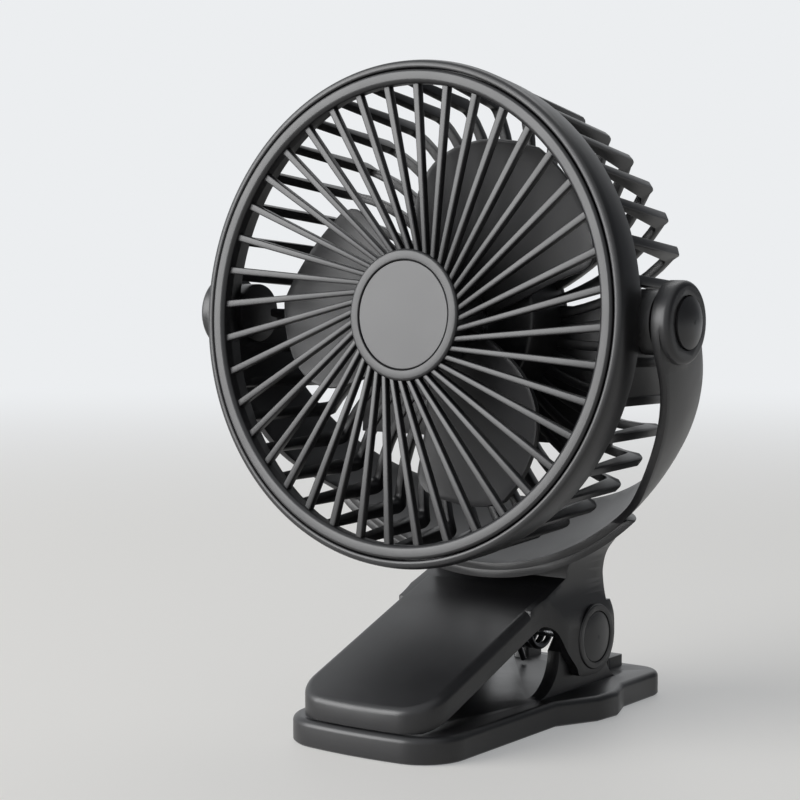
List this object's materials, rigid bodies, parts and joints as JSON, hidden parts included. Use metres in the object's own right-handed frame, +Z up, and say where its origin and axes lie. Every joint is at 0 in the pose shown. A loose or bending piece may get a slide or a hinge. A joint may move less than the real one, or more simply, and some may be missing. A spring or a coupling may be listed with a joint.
{
  "type": "clip fan",
  "caption": "Small round fan in a ribbed cage that tilts between the arms of a spherical yoke, on a sprung clip whose lower jaw also serves as a table base.",
  "frame": {"origin": "middle of the whole object in plan, on the table under the sole", "axes": "+Z up, the fan faces -Y, +X across the clip along the tilt and hinge axes"},
  "size_m": [0.1764, 0.1316, 0.2046],
  "materials": {
    "shell_plastic": "fine satin moulded ABS",
    "cap_plastic": "fine satin moulded ABS",
    "disc_plastic": "fine satin moulded ABS",
    "blade_plastic": "satin moulded polypropylene",
    "washer_plastic": "turned acetal",
    "sole_rubber": "soft moulded rubber",
    "pad_rubber": "soft moulded rubber",
    "pin_steel": "drawn steel rod",
    "spring_steel": "coiled spring wire",
    "screw_steel": "zinc-plated steel",
    "can_steel": "plated deep-drawn steel",
    "rotor_steel": "stacked steel laminations",
    "bushing_brass": "sintered bronze",
    "socket_steel": "folded plated sheet",
    "cell_foil": "laminated foil pouch",
    "board_laminate": "lacquered glass-fibre board",
    "switch_plastic": "moulded nylon",
    "lens_plastic": "clear moulded acrylic"
  },
  "bodies": {
    "base": {"base_plate": "shell_plastic", "base_sole": "sole_rubber", "base_jaw_pad": "pad_rubber", "hinge_pin": "pin_steel", "clip_spring": "spring_steel"},
    "clip": {"clip_lever": "shell_plastic", "lever_jaw_pad": "pad_rubber", "hinge_cap_right": "cap_plastic", "hinge_cap_left": "cap_plastic", "yoke_bracket": "shell_plastic", "yoke_screws": "screw_steel", "tilt_pin_right": "pin_steel", "tilt_pin_left": "pin_steel", "tilt_washer_right": "washer_plastic", "tilt_washer_left": "washer_plastic", "tilt_cap_right": "cap_plastic", "tilt_cap_left": "cap_plastic"},
    "head": {"rear_shroud": "shell_plastic", "front_grille": "shell_plastic", "hub_disc": "disc_plastic", "motor_can": "can_steel", "motor_bushings": "bushing_brass", "motor_screws": "screw_steel", "rear_cover": "shell_plastic", "cover_screws": "screw_steel", "battery_cell": "cell_foil", "circuit_board": "board_laminate", "usb_socket": "socket_steel", "button_switch": "switch_plastic", "indicator_lens": "lens_plastic"},
    "impeller": {"impeller": "blade_plastic", "motor_shaft": "pin_steel", "motor_rotor": "rotor_steel"},
    "button": {"speed_button": "cap_plastic"}
  },
  "joints": [
    {"name": "clip_open", "type": "hinge", "parent": "base", "child": "clip", "pos_m": [0, 0.027, 0.0244], "axis": [-1, 0, 0], "range_deg": [0, 28], "stiffness_Nm_per_rad": 0.5, "springref_deg": -85.94},
    {"name": "head_tilt", "type": "hinge", "parent": "clip", "child": "head", "pos_m": [0, -0.0217, 0.1276], "axis": [-1, 0, 0], "range_deg": [-90, 90]},
    {"name": "fan_spin", "type": "hinge", "parent": "head", "child": "impeller", "pos_m": [0, -0.0217, 0.1276], "axis": [0, -0.998, 0.0628], "continuous": true},
    {"name": "button_press", "type": "slide", "parent": "head", "child": "button", "axis": [0, -0.998, 0.0628], "range_m": [0, 0.0008], "stiffness_N_per_m": 1000, "springref_m": -0.0005}
  ]
}
